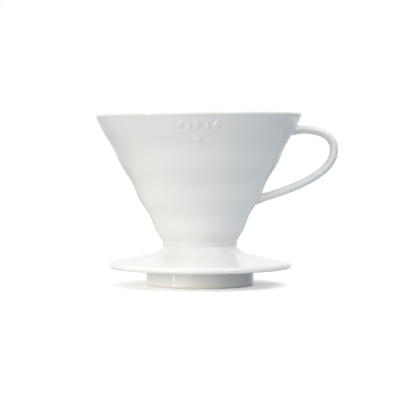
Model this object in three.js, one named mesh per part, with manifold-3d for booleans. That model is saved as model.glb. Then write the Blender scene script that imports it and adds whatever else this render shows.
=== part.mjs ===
// Pour over coffee dripper in glazed porcelain: a rippled cone with spiral ribs inside, a loop
// handle, a saucer that rests on the cup and a ring under it that keeps it from sliding off.
// Each piece is cast on its own and luted to the next with slip before firing.
// Millimetres, +Z up. The origin is on the table, under the middle of the overall footprint.
import * as THREE from "three";
import { mergeVertices } from "three/addons/utils/BufferGeometryUtils.js";
import Module from "manifold-3d";

const wasm = await Module();
wasm.setup();

// ---- driving dimensions -------------------------------------------------------------------

const OVERALL_HEIGHT = 98.9; // table to rim
const SLIP_GAP = 0.3; // layer of slip between two luted pieces
const KILN_LEAN = 0.56; // degrees that the fired cone stands off plumb, away from its handle

const RIM_RADIUS = 60.15; // mean outside of the cone at rim height
const RIM_WALL = 3.6; // wall at the rim, measured level
const LIP_ROUNDING = 0.9; // both edges of the rim
const WAIST_RADIUS = 21.3; // the neck between cone and saucer
const NECK_LENGTH = 2.2; // from the seat to where the cone's slope reaches the waist
const WAIST_BLEND = 0.8; // softness of that corner

const RIPPLE_AT_RIM = 0.29; // half height of the waves in the outside wall
const RIPPLE_AT_NECK = 0.6;
const RIPPLE_PITCH = 21.2; // crest to crest, measured down from the rim
const RIPPLE_TIGHTENING = 0.00125; // how much closer the waves get for each mm of depth
const FIRST_CREST_DEPTH = 8.6; // first crest below the rim

const OUTLET_RADIUS = 10; // the single large hole at the bottom of the cone
const OUTLET_LIP = 3.2; // wall around the outlet
const SPIGOT_RADIUS = 16.6; // the part of the cone that sits inside the saucer's collar
const SPIGOT_LENGTH = 3.5;
const SPIGOT_CHAMFER = 1.8;

const RIB_COUNT = 12; // long ribs, with as many short ones between them
const RIB_TWIST = 68; // degrees that a rib turns on its way down
const RIB_START = 9; // ribs begin this far below the rim
const SHORT_RIB_END = 42; // short ribs are gone at this depth
const RIB_RUNOUT = 7; // length over which a rib rises or fades
const RIB_HEIGHT = 1.8;
const RIB_WIDTH_AT_RIM = 3;
const RIB_WIDTH_AT_OUTLET = 1.8;

const SAUCER_RADIUS = 52.9;
const SAUCER_EDGE = 3.5; // thickness at the rounded edge
const SAUCER_UNDERSIDE = 9.9; // height of the flat underside that rests on the cup
const SAUCER_FALL = 0.213; // fall of the top face for each mm outwards
const COLLAR_RISE = 3.3; // seat above the sloping top face, where that face would reach it
const COLLAR_STEP = 0.2; // collar stands proud of the waist by this much
const SKIRT_FILLET = 8.9; // hollow curve between collar and top face

const HOLLOW_ROOF = 3.2; // collar's height at the bore
const HOLLOW_SHOULDER = 3; // the hollow's side leans in by this much on its way up

const FOOT_RADIUS = 31.25; // outside of the ring that drops into the cup
const FOOT_WALL = 3.6;
const FOOT_DRAFT = 0.5; // the ring is this much narrower at the table
const FOOT_ROUNDING = 0.9;
const FOOT_SOCKET = 1; // depth of the groove that takes the ring

const HANDLE_THICKNESS = 5.2; // seen from the side
const HANDLE_WIDTH = 9.2; // seen from the handle's end
const HANDLE_REACH = 17.6; // centre of the outermost bend, out from the rim
const HANDLE_TOP_DROP = 11; // upper root below the rim
const HANDLE_APEX_DROP = 20.6; // outermost bend below the rim
const HANDLE_FOOT_DROP = 51; // lower root below the rim
const HANDLE_TOP_SINK = 8; // how far the swept bar runs on inside the wall before it is trimmed
const HANDLE_LOW_SINK = 4;
const HANDLE_TOP_PULL = [10.7, 4.1]; // pulls the upper arc up: in from the bend, up from the root
const HANDLE_BEND_ABOVE = 8.3; // length of the upright stretch above the outermost point
const HANDLE_BEND_BELOW = 5.8;
const HANDLE_LOW_PULL = [0.9, 12.1]; // fills out the long sweep back to the lower root

const MARK_RELIEF = 0.45; // raised beans and drops on the front
const MARK_BODY = 1.1; // half depth of each, most of it inside the wall
const MARK_SIDES = [12, 8]; // faces around and along each shape
const MARK_COUNT = 5; // beans and drops by turns in the upper row
const MARK_PITCH = 5;
const BEAN_SIZE = [3.3, 5.2];
const BEAN_TURN = 25; // degrees, to one side and then to the other
const DROP_SIZE = [3.1, 4.4];
const UPPER_DEPTH = 7; // centre of the upper row below the rim
const LOWER_DEPTH = 15; // centre of the bean that lies on its side under it
const SLOPE_SAMPLE = 0.5; // half the height over which the wall's slope is taken

const CONE_COLUMNS = 8 * RIB_COUNT; // four columns of vertices to each rib
const ROUND_SEGMENTS = 72; // saucer and ring
const HANDLE_STEPS = 32;
const HANDLE_SIDES = 8;
const RIPPLE_ROWS = 20;
const INNER_ROWS = 10;

// ---- sizes that follow --------------------------------------------------------------------

const saucerEdgeRadius = SAUCER_EDGE / 2;
const collarRadius = WAIST_RADIUS + COLLAR_STEP;
const topFaceStart = new THREE.Vector2(
  SAUCER_RADIUS - saucerEdgeRadius,
  SAUCER_UNDERSIDE + SAUCER_EDGE,
);
const topFaceAtCollar = topFaceStart.y + SAUCER_FALL * (topFaceStart.x - collarRadius);
const seatHeight = topFaceAtCollar + COLLAR_RISE;
const neckHeight = seatHeight + NECK_LENGTH;
const outletHeight = seatHeight - SPIGOT_LENGTH;
const mouthRadius = RIM_RADIUS - RIM_WALL;
const footInnerRadius = FOOT_RADIUS - FOOT_WALL;
const boreRadius = SPIGOT_RADIUS + SLIP_GAP;

// ---- profile helpers, in the half plane of radius and height -----------------------------

function point(radius, height) {
  return new THREE.Vector2(radius, height);
}

function arc(centre, radius, fromDegrees, toDegrees, steps) {
  const points = [];
  for (let i = 0; i <= steps; i++) {
    const angle = THREE.MathUtils.degToRad(THREE.MathUtils.lerp(fromDegrees, toDegrees, i / steps));
    points.push(point(centre.x + radius * Math.cos(angle), centre.y + radius * Math.sin(angle)));
  }
  return points;
}

function ramp(value, start, end) {
  return THREE.MathUtils.clamp((value - start) / (end - start), 0, 1);
}

function closedProfile(points) {
  return [...points, points[0].clone()];
}

// Turns a closed profile about the upright axis. The pole of a LatheGeometry is Y, so its
// coordinates are passed round once to stand it on Z.
function turned(profile, segments) {
  const geometry = new THREE.LatheGeometry(profile, segments);
  return geometry.applyMatrix4(new THREE.Matrix4().set(0, 0, 1, 0, 1, 0, 0, 0, 0, 1, 0, 0, 0, 0, 0, 1));
}

// ---- solids: only joined and cut ----------------------------------------------------------

function solidFrom(geometry) {
  const bare = geometry.clone();
  bare.deleteAttribute("normal");
  bare.deleteAttribute("uv");
  const merged = mergeVertices(bare, 1e-4);
  return new wasm.Manifold(
    new wasm.Mesh({
      numProp: 3,
      vertProperties: merged.attributes.position.array,
      triVerts: new Uint32Array(merged.index.array),
    }),
  );
}

function geometryFrom(solid) {
  const mesh = solid.getMesh();
  const geometry = new THREE.BufferGeometry();
  geometry.setAttribute("position", new THREE.BufferAttribute(mesh.vertProperties, 3));
  geometry.setIndex(new THREE.BufferAttribute(mesh.triVerts, 1));
  geometry.computeVertexNormals();
  return geometry;
}

// ---- cone ---------------------------------------------------------------------------------

// Outside radius at a height: a straight slope with waves, eased into the upright neck.
function outerRadius(height) {
  const depth = OVERALL_HEIGHT - height;
  const slopeDepth = OVERALL_HEIGHT - neckHeight;
  const slope = (RIM_RADIUS - WAIST_RADIUS) / slopeDepth;
  const fromCrest = depth - FIRST_CREST_DEPTH;
  const turns = (fromCrest / RIPPLE_PITCH) * (1 + RIPPLE_TIGHTENING * fromCrest);
  const halfWave = THREE.MathUtils.lerp(RIPPLE_AT_RIM, RIPPLE_AT_NECK, depth / slopeDepth);
  const cone = RIM_RADIUS - slope * depth + halfWave * Math.cos(2 * Math.PI * turns);
  return (cone + WAIST_RADIUS + Math.hypot(cone - WAIST_RADIUS, WAIST_BLEND)) / 2;
}

function innerRadius(height) {
  return THREE.MathUtils.mapLinear(
    height, outletHeight, OVERALL_HEIGHT, OUTLET_RADIUS, mouthRadius,
  );
}

// The outside wall from the seat up to where the lip's rounding starts.
function outerWall(rows, clearance = 0) {
  const lipStart = OVERALL_HEIGHT - LIP_ROUNDING;
  const points = [];
  for (let row = 0; row <= rows; row++) {
    const height = THREE.MathUtils.lerp(seatHeight, lipStart, row / rows);
    points.push(point(outerRadius(height) + clearance, height));
  }
  return points;
}

function lip() {
  const level = OVERALL_HEIGHT - LIP_ROUNDING;
  const outer = point(outerRadius(level) - LIP_ROUNDING, level);
  const inner = point(innerRadius(level) + LIP_ROUNDING, level);
  return [...arc(outer, LIP_ROUNDING, 30, 90, 2), ...arc(inner, LIP_ROUNDING, 90, 150, 2)];
}

function coneProfile() {
  const outletRim = OUTLET_RADIUS + OUTLET_LIP;
  const outside = [
    point(OUTLET_RADIUS, outletHeight),
    point(outletRim, outletHeight),
    point(SPIGOT_RADIUS, outletHeight + SPIGOT_CHAMFER),
    point(SPIGOT_RADIUS, seatHeight),
    ...outerWall(RIPPLE_ROWS),
    ...lip(),
  ];
  const inside = [];
  for (let row = 0; row < INNER_ROWS; row++) {
    const height = THREE.MathUtils.lerp(
      OVERALL_HEIGHT - LIP_ROUNDING, outletHeight, row / INNER_ROWS,
    );
    inside.push(point(innerRadius(height), height));
  }
  return { profile: closedProfile([...outside, ...inside]), firstInside: outside.length };
}

// Height of a rib above the wall at a depth, for a long or a short rib.
function ribHeight(depth, isLong) {
  const rise = ramp(depth, RIB_START, RIB_START + RIB_RUNOUT);
  const end = isLong ? OVERALL_HEIGHT - outletHeight : SHORT_RIB_END;
  const fade = ramp(depth, end, end - RIB_RUNOUT);
  return RIB_HEIGHT * Math.min(rise, fade);
}

// The four columns of a rib, from its centre, in half widths of the rib: foot, crest, crest, foot.
const RIB_COLUMNS = [
  { offset: -1, isCrest: false },
  { offset: -0.45, isCrest: true },
  { offset: 0.45, isCrest: true },
  { offset: 1, isCrest: false },
];

// Where a column stands at a depth on the inside wall: drawn in to the rib's own width.
function ribColumnAngle(column, depth, radius) {
  const pitch = (2 * Math.PI) / (2 * RIB_COUNT);
  const rib = Math.floor(column / RIB_COLUMNS.length);
  const { offset } = RIB_COLUMNS[column % RIB_COLUMNS.length];
  const width = THREE.MathUtils.mapLinear(
    depth, 0, OVERALL_HEIGHT - outletHeight, RIB_WIDTH_AT_RIM, RIB_WIDTH_AT_OUTLET,
  );
  return (rib + 0.5) * pitch + (offset * width) / (2 * radius);
}

function coneGeometry() {
  const { profile, firstInside } = coneProfile();
  const geometry = new THREE.LatheGeometry(profile, CONE_COLUMNS);
  const position = geometry.getAttribute("position");
  const depthOfCone = OVERALL_HEIGHT - outletHeight;
  for (let column = 0; column <= CONE_COLUMNS; column++) {
    const evenAngle = ((column + 0.5) / CONE_COLUMNS) * 2 * Math.PI;
    for (let row = 0; row < profile.length; row++) {
      const { x: radius, y: height } = profile[row];
      const depth = OVERALL_HEIGHT - height;
      let angle = evenAngle;
      let raised = 0;
      if (row > firstInside && row < profile.length - 1) {
        const gather = ramp(depth, LIP_ROUNDING, RIB_START);
        angle = THREE.MathUtils.lerp(evenAngle, ribColumnAngle(column, depth, radius), gather);
        const place = column % (2 * RIB_COLUMNS.length);
        const isLong = place < RIB_COLUMNS.length;
        const isCrest = RIB_COLUMNS[place % RIB_COLUMNS.length].isCrest;
        raised = isCrest ? ribHeight(depth, isLong) : 0;
      }
      angle -= THREE.MathUtils.degToRad(RIB_TWIST) * (depth / depthOfCone);
      const at = column * profile.length + row;
      const r = radius - raised;
      position.setXYZ(at, r * Math.cos(angle), r * Math.sin(angle), height);
    }
  }
  return geometry;
}

// One raised shape of the mark: an egg laid on the front of the cone, most of it in the wall.
function markShape([width, length], across, depth, turn) {
  const height = OVERALL_HEIGHT - depth;
  const spread = outerRadius(height + SLOPE_SAMPLE) - outerRadius(height - SLOPE_SAMPLE);
  const egg = new THREE.SphereGeometry(1, ...MARK_SIDES);
  egg.scale(width / 2, MARK_BODY, length / 2);
  egg.rotateY(THREE.MathUtils.degToRad(turn));
  egg.translate(0, MARK_BODY - MARK_RELIEF, 0);
  egg.rotateX(Math.atan2(spread, 2 * SLOPE_SAMPLE));
  egg.translate(0, -outerRadius(height), height);
  return egg.rotateZ(across / outerRadius(height));
}

// Beans turned to either side with drops between them, and one bean lying underneath.
function mark() {
  const shapes = [markShape(BEAN_SIZE, 0, LOWER_DEPTH, 90)];
  for (let i = 0; i < MARK_COUNT; i++) {
    const across = (i - (MARK_COUNT - 1) / 2) * MARK_PITCH;
    if (i % 2 === 1) {
      shapes.push(markShape(DROP_SIZE, across, UPPER_DEPTH, 0));
    } else {
      shapes.push(markShape(BEAN_SIZE, across, UPPER_DEPTH, i % 4 === 0 ? BEAN_TURN : -BEAN_TURN));
    }
  }
  return shapes;
}

function cone() {
  const body = mark().reduce(
    (solid, shape) => solid.add(solidFrom(shape)),
    solidFrom(coneGeometry()),
  );
  return geometryFrom(body);
}

// ---- handle -------------------------------------------------------------------------------

// The centre line: a quick turn over the top, then a long sweep back in to the cone.
function handlePath() {
  const apex = new THREE.Vector3(RIM_RADIUS + HANDLE_REACH, 0, OVERALL_HEIGHT - HANDLE_APEX_DROP);
  const topRoot = OVERALL_HEIGHT - HANDLE_TOP_DROP;
  const lowRoot = OVERALL_HEIGHT - HANDLE_FOOT_DROP;
  const path = new THREE.CurvePath();
  path.add(new THREE.CubicBezierCurve3(
    new THREE.Vector3(outerRadius(topRoot) - HANDLE_TOP_SINK, 0, topRoot),
    new THREE.Vector3(apex.x - HANDLE_TOP_PULL[0], 0, topRoot + HANDLE_TOP_PULL[1]),
    new THREE.Vector3(apex.x, 0, apex.z + HANDLE_BEND_ABOVE),
    apex,
  ));
  path.add(new THREE.CubicBezierCurve3(
    apex,
    new THREE.Vector3(apex.x, 0, apex.z - HANDLE_BEND_BELOW),
    new THREE.Vector3(apex.x - HANDLE_LOW_PULL[0], 0, lowRoot + HANDLE_LOW_PULL[1]),
    new THREE.Vector3(outerRadius(lowRoot) - HANDLE_LOW_SINK, 0, lowRoot),
  ));
  return path;
}

function handle() {
  const section = new THREE.Shape();
  section.absellipse(0, 0, HANDLE_WIDTH / 2, HANDLE_THICKNESS / 2, 0, 2 * Math.PI);
  const bar = new THREE.ExtrudeGeometry(section, {
    steps: HANDLE_STEPS,
    curveSegments: HANDLE_SIDES,
    extrudePath: handlePath(),
  });
  const wall = closedProfile([
    point(0, seatHeight),
    ...outerWall(RIPPLE_ROWS, SLIP_GAP),
    point(RIM_RADIUS + SLIP_GAP, OVERALL_HEIGHT),
    point(0, OVERALL_HEIGHT),
  ]);
  return geometryFrom(solidFrom(bar).subtract(solidFrom(turned(wall, ROUND_SEGMENTS))));
}

// ---- saucer -------------------------------------------------------------------------------

// The fillet touches the sloping top face and passes through the collar's upper edge.
function skirtFillet(seatLevel) {
  const fallAngle = Math.atan(SAUCER_FALL);
  const rise = topFaceAtCollar + SKIRT_FILLET / Math.cos(fallAngle) - seatLevel;
  const square = 1 + SAUCER_FALL ** 2;
  const root = Math.sqrt((rise * SAUCER_FALL) ** 2 - square * (rise ** 2 - SKIRT_FILLET ** 2));
  const out = (rise * SAUCER_FALL + root) / square;
  const centre = point(collarRadius + out, seatLevel + rise - SAUCER_FALL * out);
  const start = THREE.MathUtils.radToDeg(Math.atan2(seatLevel - centre.y, -out));
  const end = -90 - THREE.MathUtils.radToDeg(fallAngle);
  return arc(centre, SKIRT_FILLET, start > 0 ? start - 360 : start, end, 7);
}

function saucer() {
  const seatLevel = seatHeight - SLIP_GAP;
  const socketLevel = SAUCER_UNDERSIDE + FOOT_SOCKET;
  const socketRadius = FOOT_RADIUS + SLIP_GAP;
  const nose = point(topFaceStart.x, SAUCER_UNDERSIDE + saucerEdgeRadius);
  const hollow = new THREE.QuadraticBezierCurve(
    point(footInnerRadius, socketLevel),
    point(footInnerRadius - HOLLOW_SHOULDER, seatLevel - HOLLOW_ROOF),
    point(boreRadius, seatLevel - HOLLOW_ROOF),
  );
  const profile = closedProfile([
    point(boreRadius, seatLevel),
    ...hollow.getPoints(6).reverse(),
    point(socketRadius, socketLevel),
    point(socketRadius, SAUCER_UNDERSIDE),
    ...arc(nose, saucerEdgeRadius, -90, 90, 6),
    ...skirtFillet(seatLevel).reverse(),
  ]);
  return turned(profile, ROUND_SEGMENTS);
}

// ---- foot ring ----------------------------------------------------------------------------

function footRing() {
  const top = SAUCER_UNDERSIDE + FOOT_SOCKET - SLIP_GAP;
  const outerEdge = point(FOOT_RADIUS - FOOT_DRAFT - FOOT_ROUNDING, FOOT_ROUNDING);
  const innerEdge = point(footInnerRadius + FOOT_ROUNDING, FOOT_ROUNDING);
  const profile = closedProfile([
    ...arc(outerEdge, FOOT_ROUNDING, -90, 0, 3),
    point(FOOT_RADIUS, SAUCER_UNDERSIDE - FOOT_ROUNDING),
    point(FOOT_RADIUS, top),
    point(footInnerRadius, top),
    ...arc(innerEdge, FOOT_ROUNDING, 180, 270, 3),
  ]);
  return turned(profile, ROUND_SEGMENTS);
}

// ---- scene graph --------------------------------------------------------------------------

function glazed(name, geometry) {
  const glaze = new THREE.MeshStandardMaterial({ color: 0xf4f5f3, roughness: 0.12, metalness: 0 });
  const mesh = new THREE.Mesh(geometry, glaze);
  mesh.name = name;
  return mesh;
}

// The cone and its handle lean together about the middle of the seat.
const upper = new THREE.Group();
upper.position.z = seatHeight;
upper.rotation.y = THREE.MathUtils.degToRad(-KILN_LEAN);
const aboveSeat = new THREE.Group();
aboveSeat.position.z = -seatHeight;
aboveSeat.add(glazed("cone", cone()), glazed("handle", handle()));
upper.add(aboveSeat);

const dripper = new THREE.Group();
dripper.add(upper, glazed("saucer", saucer()), glazed("foot_ring", footRing()));
const extent = new THREE.Box3().setFromObject(dripper, true);
dripper.position.x = -(extent.min.x + extent.max.x) / 2;

const part = new THREE.Group();
part.add(dripper);

export default part;
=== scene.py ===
import math

import bmesh
import bpy
from bpy.props import FloatProperty, FloatVectorProperty, IntProperty, PointerProperty
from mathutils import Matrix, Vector


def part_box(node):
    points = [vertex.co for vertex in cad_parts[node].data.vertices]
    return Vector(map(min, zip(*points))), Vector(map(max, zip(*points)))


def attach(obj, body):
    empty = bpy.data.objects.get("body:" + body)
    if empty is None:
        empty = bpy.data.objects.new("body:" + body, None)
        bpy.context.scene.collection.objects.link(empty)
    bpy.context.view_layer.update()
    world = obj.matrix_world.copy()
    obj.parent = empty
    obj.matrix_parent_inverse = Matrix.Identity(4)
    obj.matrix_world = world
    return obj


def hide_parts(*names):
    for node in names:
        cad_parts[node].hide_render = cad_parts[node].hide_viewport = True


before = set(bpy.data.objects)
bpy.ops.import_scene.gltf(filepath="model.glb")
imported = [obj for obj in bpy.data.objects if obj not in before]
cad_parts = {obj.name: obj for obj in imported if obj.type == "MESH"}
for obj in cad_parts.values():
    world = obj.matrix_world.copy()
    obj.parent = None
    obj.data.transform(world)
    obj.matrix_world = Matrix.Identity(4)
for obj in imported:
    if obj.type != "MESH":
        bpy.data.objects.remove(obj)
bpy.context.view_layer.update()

bl_info = {
    "name": "Porcelain Pour Over Dripper",
    "version": (1, 0, 0),
    "blender": (4, 5, 0),
    "location": "3D View > Sidebar > Dripper",
    "description": "Models a glazed cone dripper with its handle, saucer and foot ring",
    "category": "Add Mesh",
}

MM = 0.001
FULL_TURN = 2 * math.pi

# The fired pieces stand about one upright axis; the ring under the saucer is centred on it.
RING_LOW, RING_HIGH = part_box("foot_ring")
SAUCER_LOW, SAUCER_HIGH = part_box("saucer")
AXIS = Vector(((RING_LOW.x + RING_HIGH.x) / 2, 0.0, 0.0))
SLIP = 0.3 * MM
SEAT = SAUCER_HIGH.z + SLIP
UNDERSIDE = SAUCER_LOW.z
RING_TOP = RING_HIGH.z

# How finely the pieces are divided.
CONE_COLUMNS, SAUCER_COLUMNS, RING_COLUMNS = 528, 360, 320
WALL_ROWS, INSIDE_ROWS, LIP_ROWS, EDGE_ROWS = 80, 48, 8, 4
UNDERSIDE_ROWS, NOSE_ROWS, TOP_ROWS, SKIRT_ROWS, BLEND_ROWS = 8, 14, 14, 24, 8
ROOF_EDGE_ROWS, HOLLOW_ROWS = 3, 15
RING_ROWS, RING_EDGE_ROWS, RING_FILLET_ROWS = 10, 7, 5
BAR_SIDES, BAR_STEPS, PATH_STEPS = 24, 90, 64
MERGE_DISTANCE = 0.001 * MM

# Edges of the cone that lie out of sight in the saucer's collar, and the edge of its outlet.
TUCK, TUCK_IN, WALL_START = 0.6 * MM, 0.25 * MM, 0.35 * MM
OUTLET_EDGE = 0.8 * MM
OUTLET_ROUNDING, OUTLET_INSET, OUTLET_RISE = 0.9 * MM, 0.95 * MM, 1 * MM

LIP_LEAN = 0.9  # share of the wall's slope that the lip keeps as it rolls over
RIB_ROUNDING = 1.6  # a higher power makes the crest of a rib narrower
INSIDE_REACH = 0.3 * MM  # how far behind the inside wall a point still counts as on it

# The raised mark, in millimetres along the wall.
WALL_STRETCH = 1.13  # length along the sloping wall for each unit of height
MARK_COUNT, MARK_PITCH = 5, 5.0
UPPER_ROW, LOWER_ROW = 7.0, 15.0
BEAN_TURN, BEAN_LYING = math.radians(25), math.radians(90)
BEAN_HALF_WIDTH, BEAN_HALF_LENGTH, BEAN_FULLNESS = 1.65, 2.6, 2.6
GROOVE_BEND, GROOVE_WIDTH, GROOVE_DEPTH = 0.28, 0.22, 0.75
DROP_HALF_LENGTH, DROP_HALF_WIDTH, DROP_FULLNESS = 2.2, 1.95, 1.9
DROP_POINT, DROP_BELLY = 1.15, 2.4
RELIEF_ROUNDING = 0.8
PATCH_HALF_WIDTH, PATCH_TOP, PATCH_BOTTOM = 13.5 * MM, 2.5 * MM, 18.5 * MM
PATCH_CUTS = 3
FACES_FRONT = -0.3  # Y of a normal, below which a face looks to the front

# The handle's roots.
ROOT_LENGTH, LOW_ROOT_START = 5 * MM, 4 * MM

# The saucer's hollow and the seam at its neck.
ROOF_DEPTH, ROOF_EDGE, HOLLOW_START = 3.2 * MM, 0.6 * MM, 0.7 * MM
HOLLOW_SHOULDER, HOLLOW_FOOT = 3 * MM, 1 * MM
SEAM_SINK, SEAM_TUCK, SEAM_RISE, BORE_RISE = 0.05 * MM, 0.12 * MM, 0.35 * MM, 0.2 * MM
RING_FILLET, RING_FILLET_DROP = 0.7 * MM, 0.6 * MM


# ---- sizes and colours a user would change ------------------------------------------------


def length(name, description, default_mm):
    return FloatProperty(
        name=name, description=description, default=default_mm * MM, unit="LENGTH", precision=5
    )


def angle(name, description, degrees):
    return FloatProperty(
        name=name, description=description, default=math.radians(degrees), subtype="ANGLE"
    )


def factor(name, description, default):
    return FloatProperty(name=name, description=description, default=default)


def colour(name, description, default):
    return FloatVectorProperty(
        name=name, description=description, default=default, subtype="COLOR", size=3, min=0, max=1
    )


class DripperCone(bpy.types.PropertyGroup):
    """Sizes of the cone, its waves, its ribs and its raised mark."""

    height: length("Height", "Table to rim, before the lean", 98.9)
    rim: length("Rim radius", "Mean outside radius at rim height", 60.15)
    rim_wall: length("Rim wall", "Wall at the rim, measured level", 3.6)
    lip: length("Lip rounding", "Radius on the inside edge of the rim", 0.9)
    roll: length("Lip roll", "Height of the softer outside edge", 1.7)
    lip_depth: length("Lip depth", "Depth of the softer outside edge", 0.65)
    waist: length("Waist radius", "Neck between cone and saucer", 21.3)
    neck: length("Neck", "From the seat to where the slope reaches the waist", 2.2)
    waist_blend: length("Waist blend", "Softness of that corner", 0.8)
    wave_at_rim: length("Wave at rim", "Half height of the waves near the rim", 0.29)
    wave_at_neck: length("Wave at neck", "Half height of the waves near the neck", 0.6)
    wave_pitch: length("Wave pitch", "Crest to crest, down from the rim", 21.2)
    wave_tightening: factor("Wave tightening", "Closer crests for each mm of depth", 0.00125)
    first_crest: length("First crest", "First crest below the rim", 8.6)
    outlet: length("Outlet radius", "Hole at the bottom of the cone", 10)
    outlet_lip: length("Outlet lip", "Wall around the outlet", 3.2)
    spigot: length("Spigot radius", "Part that sits in the saucer's collar", 16.6)
    spigot_length: length("Spigot length", "Seat down to the outlet", 3.5)
    spigot_chamfer: length("Spigot chamfer", "Taper at the outlet's end", 1.8)
    lean: angle("Kiln lean", "How far the fired cone stands off plumb", 0.56)
    ribs: IntProperty(name="Ribs", description="Long ribs, with as many short between", default=12)
    twist: angle("Rib twist", "Turn of a rib on its way down", 68)
    rib_start: length("Rib start", "Ribs begin this far below the rim", 9)
    short_end: length("Short rib end", "Short ribs are gone at this depth", 42)
    rib_runout: length("Rib runout", "Length over which a rib rises or fades", 9)
    rib_height: length("Rib height", "Height of a rib above the wall", 1.8)
    rib_top_width: length("Rib width, top", "Foot of a rib near the rim", 3.8)
    rib_low_width: length("Rib width, low", "Foot of a rib at the outlet", 2.4)
    relief: length("Mark relief", "Height of the raised beans and drops", 0.45)


class DripperHandle(bpy.types.PropertyGroup):
    """Sizes of the handle."""

    thickness: length("Thickness", "Bar seen from the side", 4.95)
    width: length("Width", "Bar seen from its end", 9.2)
    reach: length("Reach", "Centre of the outermost bend, out from the rim", 17.6)
    top_drop: length("Top root", "Upper root below the rim", 11)
    apex_drop: length("Apex", "Outermost bend below the rim", 20.6)
    foot_drop: length("Lower root", "Lower root below the rim", 50.5)
    top_sink: length("Upper run in", "How far the bar runs on behind the wall's face", 8)
    low_sink: length("Lower run in", "The same at the lower root", 4)
    top_pull_in: length("Upper arc, in", "Pull on the upper arc, in from the bend", 10.7)
    top_pull_up: length("Upper arc, up", "Pull on the upper arc, up from the root", 4.1)
    bend_above: length("Bend above", "Upright stretch above the outermost point", 8.3)
    bend_below: length("Bend below", "Upright stretch below it", 5.8)
    low_pull_in: length("Lower sweep, in", "Pull on the lower sweep, in from the bend", 0.9)
    low_pull_up: length("Lower sweep, up", "Pull on the lower sweep, up from the root", 12.1)
    root_swell: factor("Root swell", "How much wider the bar grows into the wall", 0.24)
    root_depth: length("Root depth", "Where the bar is cut off inside the wall", 1.6)


class DripperSaucer(bpy.types.PropertyGroup):
    """Sizes of the saucer and the foot ring."""

    radius: length("Saucer radius", "Outside of the saucer", 52.9)
    edge: length("Edge", "Thickness at the rounded edge", 3.5)
    fall: factor("Fall", "Fall of the top face outwards, as a share", 0.213)
    collar_step: length("Collar step", "Collar proud of the waist", 0.2)
    fillet: length("Skirt fillet", "Hollow curve of the skirt", 8.9)
    blend: length("Neck blend", "Soft corner where the cone meets the collar", 1.5)
    ring_radius: length("Ring radius", "Outside of the foot ring", 31.25)
    ring_wall: length("Ring wall", "Wall of the foot ring", 3.6)
    ring_draft: length("Ring draft", "Ring narrower at the table by this", 0.5)
    ring_rounding: length("Ring rounding", "Edges at the table", 0.9)


class DripperFinish(bpy.types.PropertyGroup):
    """Colours of the glaze, the bare clay and the stage."""

    glaze: colour("Glaze", "White porcelain under clear glaze", (0.81, 0.81, 0.795))
    # Pooled glaze: partly glaze lying thick, partly painted shade in the neck's crease and under
    # the saucer.
    pooled_glaze_and_shade: colour("Pooled glaze", "Where the glaze lies thick", (0.745, 0.77, 0.775))
    thin: colour("Thin glaze", "Where it draws back from an edge", (0.825, 0.81, 0.77))
    specks: colour("Specks", "Rare iron specks in the glaze", (0.50, 0.45, 0.38))
    clay: colour("Bare clay", "Unglazed rim of the foot ring", (0.74, 0.71, 0.65))
    floor: colour("Floor", "Pale floor", (0.86, 0.86, 0.86))
    near_table: colour("Near table", "Card under the object, as it lights it", (0.78, 0.785, 0.79))
    # Painted shade: the object's shadow on the card to its right, cool and dark.
    painted_shade_table: colour("Shaded table", "The card's side away from the window", (0.53, 0.60, 0.68))
    # Painted shade: the table beyond the card, dark to all rays but the camera's.
    far_painted_shade_table: colour("Far table", "Dim surroundings, as they light it", (0.22, 0.24, 0.27))


# ---- shader building ----------------------------------------------------------------------


class Value:
    """A number socket of a shader; arithmetic on it adds the Math nodes."""

    def __init__(self, shader, socket):
        self.shader = shader
        self.socket = socket

    def math(self, operation, first, second):
        node = self.shader.add(
            "ShaderNodeMath", {"operation": operation}, Value=first, Value_001=second
        )
        return Value(self.shader, node.outputs["Value"])

    def __add__(self, other):
        return self.math("ADD", self, other)

    __radd__ = __add__

    def __sub__(self, other):
        return self.math("SUBTRACT", self, other)

    def __rsub__(self, other):
        return self.math("SUBTRACT", other, self)

    def __mul__(self, other):
        return self.math("MULTIPLY", self, other)

    __rmul__ = __mul__

    def __pow__(self, other):
        return self.math("POWER", self, other)

    def step(self, low, high):
        """0 below low, 1 above high, smooth between; low above high turns it round."""
        flipped = low > high
        node = self.shader.add(
            "ShaderNodeMapRange", {"interpolation_type": "SMOOTHSTEP"}, Value=self,
            From_Min=min(low, high), From_Max=max(low, high),
            To_Min=1.0 if flipped else 0.0, To_Max=0.0 if flipped else 1.0,
        )
        return Value(self.shader, node.outputs["Result"])


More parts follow.
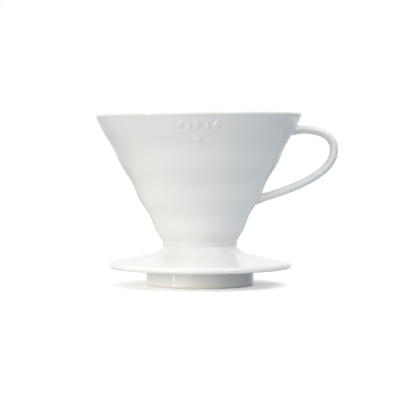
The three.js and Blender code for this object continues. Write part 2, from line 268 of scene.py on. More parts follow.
class Shader:
    """A node tree that is filled by name: add() makes any node, the rest are short forms."""

    def __init__(self, owner):
        owner.use_nodes = True
        self.tree = owner.node_tree
        self.tree.nodes.clear()

    def add(self, kind, settings=None, **sockets):
        """Adds a node: its settings first, then a value or a link for each socket named."""
        node = self.tree.nodes.new(kind)
        for key, setting in (settings or {}).items():
            setattr(node, key, setting)
        slots = {slot.identifier: slot for slot in node.inputs}
        for key, given in sockets.items():
            slot = slots[key] if key in slots else slots[key.replace("_", " ")]
            if isinstance(given, Value):
                self.tree.links.new(given.socket, slot)
            elif isinstance(given, bpy.types.NodeSocket):
                self.tree.links.new(given, slot)
            elif slot.type == "RGBA":
                slot.default_value = (*given, 1.0)
            else:
                slot.default_value = given
        return node

    def axes(self, vector):
        """X, Y and Z of a vector socket as values."""
        split = self.add("ShaderNodeSeparateXYZ", Vector=vector)
        return [Value(self, axis) for axis in split.outputs]

    def coordinates(self, kind="Object"):
        return self.add("ShaderNodeTexCoord").outputs[kind]

    def camera_ray(self):
        return Value(self, self.add("ShaderNodeLightPath").outputs["Is Camera Ray"])

    def noise(self, coordinates, size, detail=2.0, roughness=0.5):
        """Noise with features about size metres across, as a value from 0 to 1."""
        node = self.add(
            "ShaderNodeTexNoise", Vector=coordinates, Scale=1 / size, Detail=detail,
            Roughness=roughness,
        )
        return Value(self, node.outputs["Fac"])

    def mix(self, amount, low, high):
        """A colour between two colours."""
        node = self.add(
            "ShaderNodeMix", {"data_type": "RGBA"}, Factor_Float=amount, A_Color=low, B_Color=high
        )
        return next(socket for socket in node.outputs if socket.identifier == "Result_Color")

    def bump(self, height, depth, under=None):
        """A Bump node for a height field that is depth metres deep between 0 and 1."""
        below = {} if under is None else {"Normal": under}
        node = self.add("ShaderNodeBump", Height=height, Distance=depth, Strength=1.0, **below)
        return node.outputs["Normal"]

    def glossy(self, **sockets):
        """The surface of a Principled node."""
        return self.add("ShaderNodeBsdfPrincipled", **sockets).outputs["BSDF"]

    def output(self, surface):
        self.add("ShaderNodeOutputMaterial", Surface=surface)


# Patterns in the glaze and the clay: how large they are and how much they show.
SWELL_SIZE, SWELL_DEPTH = 22 * MM, 0.09 * MM
PEEL_SIZE, PEEL_DEPTH = 1.6 * MM, 0.0035 * MM
CLOUD_SIZE, CLOUD_SHADE = 30 * MM, 0.965
SPECK_SIZE, SPECK_SHARE = 1.7 * MM, 0.2
WORN_SIZE, SCUFF_SIZE = 14 * MM, 0.9 * MM
NEW_GLOSS, WORN_GLOSS, SCUFF_GLOSS = 0.045, 0.05, 0.04
GLAZE_IOR = 1.52
GRAIN_SIZE, GRAIN_DEPTH = 0.35 * MM, 0.03 * MM
CLAY_SHADE, CLAY_ROUGHNESS = 0.88, 0.75

# Levels of the noise between which each pattern comes in.
CLOUD_LEVELS, SPECK_LEVELS = (0.35, 0.7), (0.87, 0.89)
SCUFF_LEVELS, GRAIN_LEVELS = (0.62, 0.8), (0.3, 0.7)

# Where the glaze thins, and where it pools with painted shade, on the cone and the saucer, and by
# how much its edge wanders.
WANDER_SIZE, WANDER = 9 * MM, 1.2 * MM
CREASE_BELOW, CREASE_ABOVE = (SEAT - 3.2 * MM, SEAT - 0.6 * MM), (SEAT + 3.0 * MM, SEAT)
LIP_START, LIP_FULL = 1.2 * MM, 0.3 * MM
CREASE_SHARE, LIP_SHARE = 0.5, 0.6

# The same on the ring, up from the table to the saucer, with the bare clay lowest.
WIPE_SIZE, WIPE_WANDER = 6 * MM, 0.9 * MM
BARE_CLAY, THIN_EDGE = (1.75 * MM, 1.45 * MM), (3.2 * MM, 1.9 * MM)
# The ring's top, under the saucer, darkens: partly pooled glaze, partly painted shade.
POOL_AND_SHADE_TOP = (UNDERSIDE - 2.0 * MM, UNDERSIDE)
THIN_EDGE_SHARE, POOL_AND_SHADE_TOP_SHARE = 0.7, 0.8


def material_named(name):
    found = bpy.data.materials.get(name) or bpy.data.materials.new(name)
    return found, Shader(found)


def shaded(tone, share):
    """A colour made darker all over."""
    return tuple(share * channel for channel in tone)


def glaze_relief(shader, coordinates):
    """The slow swell of hand-dipped glaze and the fine orange peel on top of it."""
    swell = shader.noise(coordinates, SWELL_SIZE, detail=1.0)
    peel = shader.noise(coordinates, PEEL_SIZE, detail=2.0)
    return shader.bump(peel, PEEL_DEPTH, shader.bump(swell, SWELL_DEPTH))


def glaze_colour(shader, coordinates, finish, pooled_glaze_and_shade, thin):
    """White body with cloudy variation, cooler where pooled glaze and painted shade is 1, warmer
    where thin is 1.
    """
    clouds = shader.noise(coordinates, CLOUD_SIZE, detail=3.0).step(*CLOUD_LEVELS)
    base = shader.mix(clouds, finish.glaze, shaded(finish.glaze, CLOUD_SHADE))
    base = shader.mix(pooled_glaze_and_shade, base, finish.pooled_glaze_and_shade)
    base = shader.mix(thin, base, finish.thin)
    specks = shader.noise(coordinates, SPECK_SIZE, detail=0.0).step(*SPECK_LEVELS)
    return shader.mix(specks * SPECK_SHARE, base, finish.specks)


def glaze_roughness(shader, coordinates):
    """Gloss with a few softer places where the piece is handled and washed."""
    worn = shader.noise(coordinates, WORN_SIZE, detail=4.0, roughness=0.6)
    scuffs = shader.noise(coordinates, SCUFF_SIZE, detail=3.0).step(*SCUFF_LEVELS)
    return NEW_GLOSS + worn * WORN_GLOSS + scuffs * SCUFF_GLOSS


def glaze_material(finish, cone):
    """Clear gloss glaze over white porcelain, for the cone, the handle and the saucer."""
    material, shader = material_named("clear_glaze")
    coordinates = shader.coordinates()
    wander = shader.noise(coordinates, WANDER_SIZE, detail=2.0) * WANDER
    height = shader.axes(coordinates)[2] + wander
    # Darker, cooler band round the seat: partly pooled glaze, partly painted shade in the crease
    # between cone and saucer.
    crease_pool_and_shade = height.step(*CREASE_BELOW) * height.step(*CREASE_ABOVE) * CREASE_SHARE
    lip = height.step(cone.height - LIP_START, cone.height - LIP_FULL) * LIP_SHARE
    shader.output(shader.glossy(
        Base_Color=glaze_colour(shader, coordinates, finish, crease_pool_and_shade, lip),
        Roughness=glaze_roughness(shader, coordinates),
        IOR=GLAZE_IOR,
        Normal=glaze_relief(shader, coordinates),
    ))
    return material


def foot_material(finish):
    """The same glaze, wiped off the rim of the ring that stood on the kiln shelf."""
    material, shader = material_named("foot_glaze")
    coordinates = shader.coordinates()
    height = shader.axes(coordinates)[2]
    wiped = height + shader.noise(coordinates, WIPE_SIZE, detail=3.0) * WIPE_WANDER
    bare = wiped.step(*BARE_CLAY)
    edge = wiped.step(*THIN_EDGE) * (1 - bare) * THIN_EDGE_SHARE
    # Painted shade, with some pooled glaze: the ring darker and cooler at its top, under the
    # saucer.
    under = height.step(*POOL_AND_SHADE_TOP) * POOL_AND_SHADE_TOP_SHARE
    grain = shader.noise(coordinates, GRAIN_SIZE, detail=3.0, roughness=0.7)
    clay = shader.mix(grain.step(*GRAIN_LEVELS), finish.clay, shaded(finish.clay, CLAY_SHADE))
    glazed = glaze_colour(shader, coordinates, finish, under, edge)
    gloss = glaze_roughness(shader, coordinates) * (1 - bare)
    shader.output(shader.glossy(
        Base_Color=shader.mix(bare, glazed, clay),
        Roughness=gloss + bare * CLAY_ROUGHNESS,
        IOR=GLAZE_IOR,
        Normal=shader.bump(grain * bare, GRAIN_DEPTH, glaze_relief(shader, coordinates)),
    ))
    return material


# ---- modelling by hand --------------------------------------------------------------------


def edit(on):
    bpy.ops.object.mode_set(mode="EDIT" if on else "OBJECT")


def select_all():
    bpy.ops.mesh.select_all(action="SELECT")


def first_vertex(name, at):
    """Adds a small plane, draws it together to one vertex and puts that at a point."""
    bpy.ops.object.select_all(action="DESELECT")
    bpy.ops.mesh.primitive_plane_add(size=MM, location=(0, 0, 0))
    piece = bpy.context.object
    piece.name = name
    piece.data.name = name
    edit(True)
    select_all()
    bpy.ops.mesh.merge(type="CENTER")
    bpy.ops.transform.translate(value=at)
    return piece


def turned(name, outline, columns):
    """Draws a closed outline of (radius, height) and spins it about the upright axis."""
    points = [Vector((radius, 0.0, height)) for radius, height in outline]
    piece = first_vertex(name, points[0])
    for here, there in zip(points, points[1:] + points[:1]):
        bpy.ops.mesh.extrude_vertices_move(TRANSFORM_OT_translate={"value": there - here})
    select_all()
    bpy.ops.mesh.remove_doubles(threshold=MERGE_DISTANCE)
    bpy.ops.mesh.spin(steps=columns, angle=FULL_TURN, center=(0, 0, 0), axis=(0, 0, 1))
    select_all()
    bpy.ops.mesh.remove_doubles(threshold=MERGE_DISTANCE)
    bpy.ops.mesh.normals_make_consistent(inside=False)
    edit(False)
    return piece


def arc(centre, radius, start, end, steps):
    """Points (radius, height) on an arc between two directions in degrees."""
    points = []
    for i in range(steps + 1):
        turn = math.radians(start + (end - start) * i / steps)
        points.append((centre[0] + radius * math.cos(turn), centre[1] + radius * math.sin(turn)))
    return points


def straight(start, end, rows):
    """Points from start up to, and without, the end."""
    return [
        tuple(a + (b - a) * i / rows for a, b in zip(start, end)) for i in range(rows)
    ]


def weight_group(piece, name, weight):
    """A vertex group whose weights come from each vertex's place and normal."""
    group = piece.vertex_groups.new(name=name)
    for vertex in piece.data.vertices:
        amount = weight(vertex.co, vertex.normal)
        if amount > 0:
            group.add([vertex.index], amount, "REPLACE")


def apply_modifier(piece, kind, **settings):
    """Adds a modifier, sets it and applies it."""
    bpy.context.view_layer.objects.active = piece
    modifier = piece.modifiers.new(kind.lower(), kind)
    for key, value in settings.items():
        setattr(modifier, key, value)
    bpy.ops.object.modifier_apply(modifier=modifier.name)


def only(piece):
    bpy.ops.object.select_all(action="DESELECT")
    piece.select_set(True)
    bpy.context.view_layer.objects.active = piece


def lean_and_place(piece, lean):
    """Leans a piece with the cone about the middle of its seat, then moves it on to the axis."""
    only(piece)
    edit(True)
    select_all()
    bpy.ops.transform.rotate(value=lean, orient_axis="Y", center_override=(0, 0, SEAT))
    bpy.ops.transform.translate(value=AXIS)
    edit(False)


def finished(piece, node, material):
    """Smooth shading, material, the root body as parent, and the part it stands for hidden."""
    only(piece)
    bpy.ops.object.shade_smooth()
    piece.data.materials.clear()
    piece.data.materials.append(material)
    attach(piece, "root")
    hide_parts(node)


def smooth_ramp(value, start, end):
    share = min(1.0, max(0.0, (value - start) / (end - start)))
    return share * share * (3 - 2 * share)


# ---- cone ---------------------------------------------------------------------------------


def wall_slope(cone):
    """How far the outside wall goes outwards for each unit of height, without its waves."""
    return (cone.rim - cone.waist) / (cone.height - SEAT - cone.neck)


def outer_radius(cone, height):
    """Outside radius at a height: a straight slope with waves, eased into the upright neck."""
    depth = cone.height - height
    slope_depth = cone.height - SEAT - cone.neck
    from_crest = depth - cone.first_crest
    turns = from_crest / cone.wave_pitch * (1 + cone.wave_tightening * from_crest / MM)
    half_wave = cone.wave_at_rim + (cone.wave_at_neck - cone.wave_at_rim) * depth / slope_depth
    radius = cone.rim - wall_slope(cone) * depth
    radius += half_wave * math.cos(FULL_TURN * turns)
    return (radius + cone.waist + math.hypot(radius - cone.waist, cone.waist_blend)) / 2


def inner_radius(cone, height):
    outlet_height = SEAT - cone.spigot_length
    share = (height - outlet_height) / (cone.height - outlet_height)
    return cone.outlet + (cone.rim - cone.rim_wall - cone.outlet) * share


def lip_roll(cone, shoulder):
    """The soft outside edge of the rim, which still leans outwards as it turns over."""
    start = outer_radius(cone, shoulder) - cone.lip_depth
    outwards = LIP_LEAN * cone.roll * wall_slope(cone)
    points = []
    for row in range(1, LIP_ROWS + 1):
        share = row / LIP_ROWS
        turn = share * math.pi / 2
        radius = start + cone.lip_depth * math.cos(turn) + outwards * math.sin(turn) * (1 - share)
        points.append((radius, shoulder + cone.roll * math.sin(turn)))
    return points


def cone_outline(cone):
    """Spigot, outside wall, lip and inside wall, back to the outlet."""
    outlet_height = SEAT - cone.spigot_length
    tip = cone.outlet + cone.outlet_lip
    tucked = SEAT - TUCK
    level = cone.height - cone.lip
    shoulder = cone.height - cone.roll
    start = SEAT - WALL_START
    outline = [
        *arc((tip - OUTLET_EDGE, outlet_height + OUTLET_EDGE), OUTLET_EDGE, -90, -20, EDGE_ROWS),
        (cone.spigot, outlet_height + cone.spigot_chamfer),
        (cone.spigot, tucked),
        (outer_radius(cone, SEAT) - TUCK_IN, tucked),
    ]
    for row in range(WALL_ROWS + 1):
        height = start + (shoulder - start) * row / WALL_ROWS
        outline.append((outer_radius(cone, height), height))
    outline += lip_roll(cone, shoulder)
    outline += arc((inner_radius(cone, level) + cone.lip, level), cone.lip, 90, 165, EDGE_ROWS)
    rise = outlet_height + OUTLET_RISE
    ends = [(inner_radius(cone, height), height) for height in (level, rise)]
    outline += straight(*ends, INSIDE_ROWS)
    outline += arc((cone.outlet + OUTLET_INSET, rise), OUTLET_ROUNDING, 180, 270, EDGE_ROWS)
    return outline


def rib_weight(cone, place):
    """Share of the full rib height at a place on the inside wall, with the ribs still straight."""
    radius = math.hypot(place.x, place.y)
    wall = inner_radius(cone, place.z)
    depth = cone.height - place.z
    if radius > wall + INSIDE_REACH or depth < cone.rib_start:
        return 0.0
    pitch = FULL_TURN / (2 * cone.ribs)
    turn = math.atan2(place.y, place.x) % FULL_TURN
    rib = int(turn / pitch)
    across = (turn - (rib + 0.5) * pitch) * radius
    total = cone.height - SEAT + cone.spigot_length
    width = cone.rib_top_width + (cone.rib_low_width - cone.rib_top_width) * depth / total
    share = 1 - (2 * across / width) ** 2
    if share <= 0:
        return 0.0
    end = total if rib % 2 == 0 else cone.short_end
    rise = smooth_ramp(depth, cone.rib_start, cone.rib_start + cone.rib_runout)
    fade = smooth_ramp(end - depth, 0, cone.rib_runout)
    return share**RIB_ROUNDING * rise * fade


def twist_ribs(cone, piece):
    """Twists the whole cone about its axis, so that the rim stays and the outlet turns."""
    only(piece)
    tall = cone.height - SEAT + cone.spigot_length
    apply_modifier(
        piece, "SIMPLE_DEFORM", deform_method="TWIST", deform_axis="Z", angle=cone.twist
    )
    edit(True)
    select_all()
    bpy.ops.transform.rotate(
        value=cone.twist * cone.height / tall, orient_axis="Z", center_override=(0, 0, 0)
    )
    edit(False)


def bean_height(across, along):
    """A coffee bean lying on the wall: domed, with a curved groove down its middle."""
    reach = math.hypot(across / BEAN_HALF_WIDTH, along / BEAN_HALF_LENGTH)
    if reach >= 1:
        return 0.0
    dome = min(1.0, (1 - reach**2) * BEAN_FULLNESS) ** RELIEF_ROUNDING
    from_groove = abs(across - GROOVE_BEND * math.sin(math.pi * along / BEAN_HALF_LENGTH))
    return dome * (1 - GROOVE_DEPTH * math.exp(-((from_groove / GROOVE_WIDTH) ** 2)))


def drop_height(across, along):
    """A water drop with its point up."""
    share = (DROP_HALF_LENGTH - along) / (2 * DROP_HALF_LENGTH)
    if not 0 < share < 1:
        return 0.0
    half_width = DROP_HALF_WIDTH * share**DROP_POINT * math.sqrt(1 - share**DROP_BELLY)
    if abs(across) >= half_width:
        return 0.0
    dome = (1 - (across / half_width) ** 2) * half_width * DROP_FULLNESS
    return min(1.0, dome) ** RELIEF_ROUNDING


def mark_layout():
    """Shape, place across, depth below the rim and turn of each raised shape."""
    layout = [(bean_height, 0.0, LOWER_ROW, BEAN_LYING)]
    for i in range(MARK_COUNT):
        across = MARK_PITCH * (i - MARK_COUNT // 2)
        if i % 2:
            layout.append((drop_height, across, UPPER_ROW, 0.0))
        else:
            layout.append((bean_height, across, UPPER_ROW, -BEAN_TURN if i % 4 else BEAN_TURN))
    return layout


def mark_weight(cone, layout, place, normal):
    """Share of the full relief at a place on the front of the outside wall."""
    if place.y > 0 or normal.y > FACES_FRONT:
        return 0.0
    around_wall = math.atan2(place.x, -place.y) * outer_radius(cone, place.z) / MM
    depth = (cone.height - place.z) / MM
    best = 0.0
    for shape, centre, row_depth, turn in layout:
        across, along = around_wall - centre, (row_depth - depth) * WALL_STRETCH
        turned_across = across * math.cos(turn) - along * math.sin(turn)
        turned_along = across * math.sin(turn) + along * math.cos(turn)
        best = max(best, shape(turned_across, turned_along))
    return best


def raise_mark(cone, piece):
    """Subdivides the wall where the mark stands and lifts its beans and drops out of it."""
    edit(True)
    mesh = bmesh.from_edit_mesh(piece.data)
    bpy.ops.mesh.select_all(action="DESELECT")
    for face in mesh.faces:
        place = face.calc_center_median()
        in_front = place.y < 0 and face.normal.y < FACES_FRONT
        if in_front and PATCH_TOP < cone.height - place.z < PATCH_BOTTOM:
            face.select_set(abs(place.x) < PATCH_HALF_WIDTH)
    bmesh.update_edit_mesh(piece.data)
    bpy.ops.mesh.subdivide(number_cuts=PATCH_CUTS, smoothness=0)
    edit(False)
    layout = mark_layout()
    weight_group(piece, "mark", lambda place, normal: mark_weight(cone, layout, place, normal))
    apply_modifier(
        piece, "DISPLACE", strength=cone.relief, mid_level=0.0, vertex_group="mark"
    )


class DRIPPER_OT_cone(bpy.types.Operator):
    """Turn the cone, raise its ribs, twist them and lift the mark"""

    bl_idname = "dripper.cone"
    bl_label = "Cone"

    def execute(self, context):
        cone = context.scene.dripper_cone
        piece = turned("cone_porcelain", cone_outline(cone), CONE_COLUMNS)
        weight_group(piece, "ribs", lambda place, normal: rib_weight(cone, place))
        apply_modifier(
            piece, "DISPLACE", strength=cone.rib_height, mid_level=0.0, vertex_group="ribs"
        )
        twist_ribs(cone, piece)
        raise_mark(cone, piece)
        lean_and_place(piece, cone.lean)
        finished(
            piece, "cone", glaze_material(context.scene.dripper_finish, cone)
        )
        return {"FINISHED"}


# ---- handle -------------------------------------------------------------------------------


def handle_points(cone, handle):
    """Bezier points of the centre line, each as (left handle, point, right handle)."""
    apex = Vector((cone.rim + handle.reach, 0, cone.height - handle.apex_drop))
    top = cone.height - handle.top_drop
    low = cone.height - handle.foot_drop
    top_root = Vector((outer_radius(cone, top) - handle.top_sink, 0, top))
    low_root = Vector((outer_radius(cone, low) - handle.low_sink, 0, low))
    top_pull = Vector((apex.x - handle.top_pull_in, 0, top + handle.top_pull_up))
    low_pull = Vector((apex.x - handle.low_pull_in, 0, low + handle.low_pull_up))
    above = apex + Vector((0, 0, handle.bend_above))
    below = apex - Vector((0, 0, handle.bend_below))
    return [(top_root, top_root, top_pull), (above, apex, below), (low_pull, low_root, low_root)]


def bezier_path(name, points):
    bpy.ops.object.select_all(action="DESELECT")
    bpy.ops.curve.primitive_bezier_curve_add(location=(0, 0, 0))
    path = bpy.context.object
    path.name = name
    path.data.resolution_u = PATH_STEPS
    spline = path.data.splines[0]
    spline.bezier_points.add(len(points) - len(spline.bezier_points))
    for knot, (left, at, right) in zip(spline.bezier_points, points):
        knot.handle_left_type = "FREE"
        knot.handle_right_type = "FREE"
        knot.handle_left, knot.co, knot.handle_right = left, at, right
    return path


def straight_bar(name, handle, total):
    """A flattened bar along X, swelling towards both ends where it runs into the wall."""
    bpy.ops.object.select_all(action="DESELECT")
    bpy.ops.mesh.primitive_circle_add(
        vertices=BAR_SIDES, radius=0.5, fill_type="NGON", location=(0, 0, 0),
        rotation=(0, math.pi / 2, 0),
    )
    bar = bpy.context.object
    bar.name = name
    bar.data.name = name
    bpy.ops.object.transform_apply(location=True, rotation=True, scale=True)
    edit(True)
    select_all()
    bpy.ops.transform.resize(value=(1, handle.width, handle.thickness))
    last = 1.0
    for step in range(1, BAR_STEPS + 1):
        along = total * step / BAR_STEPS
        from_top = along - handle.top_sink
        from_low = total - along - handle.low_sink
        near_root = smooth_ramp(ROOT_LENGTH - from_top, 0, ROOT_LENGTH)
        near_root += smooth_ramp(LOW_ROOT_START - from_low, 0, ROOT_LENGTH)
        swell = 1 + handle.root_swell * near_root
        bpy.ops.mesh.extrude_region_move(
            TRANSFORM_OT_translate={"value": (total / BAR_STEPS, 0, 0)}
        )
        share = swell / last
        bpy.ops.transform.resize(value=(1, share, share), center_override=(along, 0, 0))
        last = swell
    select_all()
    bpy.ops.mesh.normals_make_consistent(inside=False)
    edit(False)
    return bar


def cut_root(cone, handle, height):
    """Cuts the bar off inside the wall, along a plane that leans as the wall does."""
    outwards = Vector((1, 0, -wall_slope(cone))).normalized()
    face = Vector((outer_radius(cone, height), 0, height))
    edit(True)
    select_all()
    bpy.ops.mesh.bisect(
        plane_co=face - outwards * handle.root_depth, plane_no=outwards, use_fill=True,
        clear_inner=True,
    )
    edit(False)


class DRIPPER_OT_handle(bpy.types.Operator):
    """Draw out a straight bar, bend it round the loop and run its ends into the cone"""

    bl_idname = "dripper.handle"
    bl_label = "Handle"

    def execute(self, context):
        cone, handle = context.scene.dripper_cone, context.scene.dripper_handle
        path = bezier_path("handle_path", handle_points(cone, handle))
        total = sum(spline.calc_length() for spline in path.data.splines)
        bar = straight_bar("handle_porcelain", handle, total)
        only(bar)
        apply_modifier(bar, "CURVE", object=path, deform_axis="POS_X")
        apply_modifier(bar, "SUBSURF", levels=1, render_levels=1)
        bpy.data.objects.remove(path)
        cut_root(cone, handle, cone.height - handle.top_drop)
        lean_and_place(bar, cone.lean)
        finished(
            bar, "handle", glaze_material(context.scene.dripper_finish, cone)
        )
        return {"FINISHED"}


# ---- saucer and foot ring -----------------------------------------------------------------


def skirt(saucer, collar, seat_level):
    """The hollow curve that starts at the collar's edge and runs out on to the top face."""
    start_x = saucer.radius - saucer.edge / 2
    at_collar = UNDERSIDE + saucer.edge + saucer.fall * (start_x - collar)
    fall_angle = math.atan(saucer.fall)
    rise = at_collar + saucer.fillet / math.cos(fall_angle) - seat_level
    square = 1 + saucer.fall**2
    root = math.sqrt((rise * saucer.fall) ** 2 - square * (rise**2 - saucer.fillet**2))
    out = (rise * saucer.fall + root) / square
    centre = (collar + out, seat_level + rise - saucer.fall * out)
    start = math.degrees(math.atan2(seat_level - centre[1], -out)) % 360 - 360
    return arc(centre, saucer.fillet, start, -90 - math.degrees(fall_angle), SKIRT_ROWS)


def skirt_start(saucer, collar, seat_level):
    """Direction from the skirt curve's centre to its upper end, in degrees."""
    first, second = skirt(saucer, collar, seat_level)[:2]
    return math.degrees(math.atan2(second[1] - first[1], second[0] - first[0])) - 90


def saucer_outline(cone, saucer):
    """Underside, rounded edge, top face, skirt and collar, back down through the hollow."""
    seat_level = SEAT - SLIP
    collar = cone.waist + saucer.collar_step
    bore = cone.spigot + SLIP
    inside = saucer.ring_radius - saucer.ring_wall
    roof = seat_level - ROOF_DEPTH
    nose = (saucer.radius - saucer.edge / 2, UNDERSIDE + saucer.edge / 2)
    skirt_points = skirt(saucer, collar, seat_level)
    top_face = 90 - math.degrees(math.atan(saucer.fall))
    outline = straight((inside, UNDERSIDE), (nose[0], UNDERSIDE), UNDERSIDE_ROWS)
    outline += arc(nose, saucer.edge / 2, -90, top_face, NOSE_ROWS)
    outline += straight(outline[-1], skirt_points[-1], TOP_ROWS)[1:]
    outline += skirt_points[::-1]
    blend = saucer.blend
    start = math.radians(skirt_start(saucer, collar, seat_level))
    middle = (collar - blend * math.cos(start), seat_level - blend * math.sin(start))
    wall = outer_radius(cone, middle[1]) - SEAM_SINK
    lift = blend + wall - middle[0]
    outline += [
        (radius + lift * smooth_ramp(height, seat_level, middle[1]), height)
        for radius, height in arc(middle, blend, math.degrees(start), -180, BLEND_ROWS)[1:]
    ]
    outline += [(wall - SEAM_TUCK, middle[1] + SEAM_RISE), (bore, middle[1] + BORE_RISE)]
    corner = (bore + ROOF_EDGE, roof + ROOF_EDGE)
    outline += arc(corner, ROOF_EDGE, 180, 270, ROOF_EDGE_ROWS)
    return outline + hollow(bore, inside, roof)


def hollow(bore, inside, roof):
    """The roof of the hollow, from the collar's bore outwards and down to the groove."""
    shoulder = inside - HOLLOW_SHOULDER
    foot = UNDERSIDE + HOLLOW_FOOT
    points = []
    for row in range(1, HOLLOW_ROWS):
        t = row / HOLLOW_ROWS
        radius = (1 - t) ** 2 * bore + 2 * t * (1 - t) * shoulder + t * t * inside
        height = (1 - t) ** 2 * roof + 2 * t * (1 - t) * roof + t * t * foot
        if radius > bore + HOLLOW_START:
            points.append((radius, height))
    return points


def ring_outline(saucer):
    """Foot ring: a narrow upright band with both edges rounded at the table."""
    outside, inside = saucer.ring_radius, saucer.ring_radius - saucer.ring_wall
    edge = saucer.ring_rounding
    low = outside - saucer.ring_draft
    outline = arc((low - edge, edge), edge, -90, 0, RING_EDGE_ROWS)
    outline += straight((low, edge), (outside, UNDERSIDE - RING_FILLET), RING_ROWS)[1:]
    fillet = (outside + RING_FILLET, UNDERSIDE - RING_FILLET_DROP)
    outline += arc(fillet, RING_FILLET, 180, 110, RING_FILLET_ROWS)
    outline += [(outside, RING_TOP), (inside, RING_TOP)]
    outline += arc((inside + edge, edge), edge, 180, 270, RING_EDGE_ROWS)
    return outline


class DRIPPER_OT_saucer(bpy.types.Operator):
    """Turn the saucer with its skirt, rounded edge and hollow underside"""

    bl_idname = "dripper.saucer"
    bl_label = "Saucer"

    def execute(self, context):
        cone, saucer = context.scene.dripper_cone, context.scene.dripper_saucer
        piece = turned("saucer_porcelain", saucer_outline(cone, saucer), SAUCER_COLUMNS)
        lean_and_place(piece, 0)
        finished(
            piece, "saucer", glaze_material(context.scene.dripper_finish, cone)
        )
        return {"FINISHED"}


class DRIPPER_OT_foot_ring(bpy.types.Operator):
    """Turn the ring that drops into the cup"""

    bl_idname = "dripper.foot_ring"
    bl_label = "Foot ring"

    def execute(self, context):
        outline = ring_outline(context.scene.dripper_saucer)
        piece = turned("foot_ring_porcelain", outline, RING_COLUMNS)
        lean_and_place(piece, 0)
        finished(
            piece, "foot_ring", foot_material(context.scene.dripper_finish)
        )
        return {"FINISHED"}


# ---- stage --------------------------------------------------------------------------------


WHITE, BLACK = (1.0, 1.0, 1.0), (0.0, 0.0, 0.0)
WARM_LIGHT, COOL_LIGHT = (1.0, 0.97, 0.91), (0.9, 0.95, 1.0)

# Each lamp's name, degrees to the camera's left, distance, height, size, power and tint.
LAMPS = (
    ("softbox", 33, 1.3, 0.14, (0.6, 0.48), 3.1, WARM_LIGHT),
    ("left_strip", 57, 1.3, 0.30, (0.13, 0.8), 4.0, WARM_LIGHT),
    ("right_strip", -33, 1.5, 0.40, (0.1, 0.8), 0.5, COOL_LIGHT),
    ("top_right", -50, 0.8, 1.35, (0.7, 0.7), 4.8, WHITE),
)
LAMP_TARGET = (AXIS.x, 0, 0.06)

# The tent round the stage, as the object sees it, and the directions between which its
# sides, front, top and back take over from each other.
WINDOW_SIDE, SHADE_SIDE = (0.84, 0.82, 0.76), (0.11, 0.21, 0.36)
TENT_FRONT, TENT_TOP, TENT_BACK = shaded(WHITE, 0.8), shaded(WHITE, 0.93), shaded(WHITE, 1.04)
SIDE_TURN, FRONT_TURN, TOP_TURN = (-0.35, 0.45), (-0.45, -0.85), (0.05, 0.32)
BACK_TURN, HORIZON = (0.6, 0.85), (-0.02, 0.01)

# The floor, and the card on it that only the object sees: where the card's painted shade on the
# right begins, where it ends and the painted shade of the dim table begins, and how far the painted
# warm glow, for light bounced up beside the ring, reaches.
FLOOR_RADIUS, FLOOR_SIDES = 6.0, 96
FLOOR_ROUGHNESS, FLOOR_LIFT = 0.7, 0.3
MOTTLE_SIZE, MOTTLE_SHADE, MOTTLE_LEVELS = 0.25, 0.98, (0.3, 0.7)
TABLE_ROUGHNESS = 0.08
CARD_SHADE, CARD_EDGE = (-0.01, 0.08), (0.13, 0.20)
# Painted light: the floor glows warm beside the ring, standing in for light bounced up on to the
# ring.
WARM_GLOW, GLOW_STRENGTH = (1.0, 0.97, 0.88), 0.36
GLOW_REACH, GLOW_SIDE = (0.058, 0.046), (0.012, -0.03)

CAMERA_DISTANCE, CAMERA_HEIGHT, CAMERA_PITCH = 1.0, 0.0812, math.radians(1.838)
CAMERA_LENS, CAMERA_SENSOR, CAMERA_NEAR = 155.925, 36.0, 0.01


def area_light(name, degrees, distance, height, size, power, tint):
    """A rectangular lamp that looks at the object; degrees turn it to the camera's left."""
    turn = math.radians(degrees)
    at = Vector((AXIS.x - distance * math.sin(turn), -distance * math.cos(turn), height))
    bpy.ops.object.light_add(type="AREA", location=at)
    lamp = bpy.context.object
    lamp.name = name
    lamp.data.shape = "RECTANGLE"
    lamp.data.size, lamp.data.size_y = size
    lamp.data.energy = power
    lamp.data.color = tint
    lamp.visible_camera = False
    lamp.rotation_euler = (Vector(LAMP_TARGET) - at).to_track_quat("-Z", "Y").to_euler()


def floor_material(finish):
    """A pale floor for the camera; it lights the object as a card on a dim table would, with
    painted shade and a painted warm glow.
    """
    material, shader = material_named("pale_floor")
    coordinates = shader.coordinates()
    mottle = shader.noise(coordinates, MOTTLE_SIZE, detail=2.0).step(*MOTTLE_LEVELS)
    seen = shader.glossy(
        Base_Color=shader.mix(mottle, finish.floor, shaded(finish.floor, MOTTLE_SHADE)),
        Roughness=FLOOR_ROUGHNESS, Emission_Color=WHITE, Emission_Strength=FLOOR_LIFT,
    )
    x, y = shader.axes(coordinates)[:2]
    reach = (x * x + y * y) ** 0.5
    # Painted shade: the card darker and cooler to the right, where the object's shadow falls.
    card = shader.mix(x.step(*CARD_SHADE), finish.near_table, finish.painted_shade_table)
    # Painted shade: the table dark beyond the card.
    card = shader.mix(reach.step(*CARD_EDGE), card, finish.far_painted_shade_table)
    # Painted light: a warm emitting patch on the left beside the ring, for all rays but the
    # camera's.
    glow = reach.step(*GLOW_REACH) * x.step(*GLOW_SIDE)
    table = shader.glossy(
        Base_Color=card, Roughness=TABLE_ROUGHNESS,
        Emission_Color=shader.mix(glow, BLACK, WARM_GLOW), Emission_Strength=GLOW_STRENGTH,
    )
    both = shader.add(
        "ShaderNodeMixShader", Fac=shader.camera_ray(), Shader=table, Shader_001=seen
    )
    shader.output(both.outputs["Shader"])
    return material


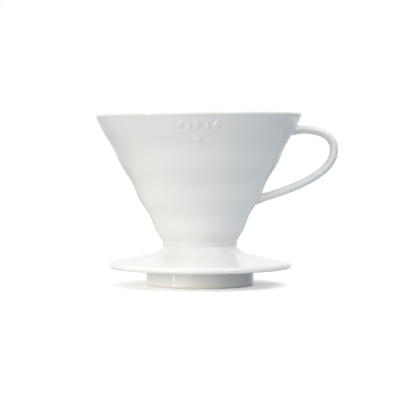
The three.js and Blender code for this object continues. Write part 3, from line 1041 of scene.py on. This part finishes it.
def studio_world():
    """A tent of soft light: white overhead, dim and cool low on the right, white behind."""
    world = bpy.data.worlds.new("studio_tent")
    bpy.context.scene.world = world
    shader = Shader(world)
    x, y, z = shader.axes(shader.coordinates("Generated"))
    tone = shader.mix(x.step(*SIDE_TURN), WINDOW_SIDE, SHADE_SIDE)
    tone = shader.mix(y.step(*FRONT_TURN), tone, TENT_FRONT)
    tone = shader.mix(z.step(*TOP_TURN), tone, TENT_TOP)
    tone = shader.mix(y.step(*BACK_TURN) * z.step(*HORIZON), tone, TENT_BACK)
    tone = shader.mix(shader.camera_ray(), tone, WHITE)
    background = shader.add("ShaderNodeBackground", Color=tone, Strength=1.0)
    shader.add("ShaderNodeOutputWorld", Surface=background.outputs["Background"])


class DRIPPER_OT_stage(bpy.types.Operator):
    """Lay the floor, hang the lights and stand the camera in front"""

    bl_idname = "dripper.stage"
    bl_label = "Stage"

    def execute(self, context):
        scene = context.scene
        scene.view_settings.view_transform = "Standard"
        bpy.ops.object.select_all(action="DESELECT")
        bpy.ops.mesh.primitive_circle_add(
            vertices=FLOOR_SIDES, radius=FLOOR_RADIUS, fill_type="NGON", location=(0, 0, 0)
        )
        floor = context.object
        floor.name = "floor"
        floor.data.materials.append(floor_material(scene.dripper_finish))

        studio_world()
        for lamp in LAMPS:
            area_light(*lamp)

        bpy.ops.object.camera_add(
            location=(AXIS.x, -CAMERA_DISTANCE, CAMERA_HEIGHT),
            rotation=(math.pi / 2 - CAMERA_PITCH, 0, 0),
        )
        camera = context.object
        camera.data.sensor_width = CAMERA_SENSOR
        camera.data.lens = CAMERA_LENS
        camera.data.clip_start = CAMERA_NEAR
        scene.camera = camera
        return {"FINISHED"}


# ---- panel and registration ---------------------------------------------------------------


class DRIPPER_PT_panel(bpy.types.Panel):
    """Lists the steps in the order they are run"""

    bl_label = "Pour Over Dripper"
    bl_space_type = "VIEW_3D"
    bl_region_type = "UI"
    bl_category = "Dripper"

    def draw(self, context):
        for operator in OPERATORS:
            self.layout.operator(operator.bl_idname)
        for group in GROUPS:
            settings = getattr(context.scene, group)
            box = self.layout.box()
            for key in settings.__annotations__:
                box.prop(settings, key)


GROUPS = {
    "dripper_cone": DripperCone,
    "dripper_handle": DripperHandle,
    "dripper_saucer": DripperSaucer,
    "dripper_finish": DripperFinish,
}
OPERATORS = (
    DRIPPER_OT_cone,
    DRIPPER_OT_handle,
    DRIPPER_OT_saucer,
    DRIPPER_OT_foot_ring,
    DRIPPER_OT_stage,
)


def register():
    for group in (*GROUPS.values(), *OPERATORS, DRIPPER_PT_panel):
        bpy.utils.register_class(group)
    for name, group in GROUPS.items():
        setattr(bpy.types.Scene, name, PointerProperty(type=group))


def unregister():
    for name in GROUPS:
        delattr(bpy.types.Scene, name)
    for group in reversed((*GROUPS.values(), *OPERATORS, DRIPPER_PT_panel)):
        bpy.utils.unregister_class(group)


def main():
    register()
    bpy.ops.dripper.cone()
    bpy.ops.dripper.handle()
    bpy.ops.dripper.saucer()
    bpy.ops.dripper.foot_ring()
    bpy.ops.dripper.stage()


if __name__ == "__main__":
    main()
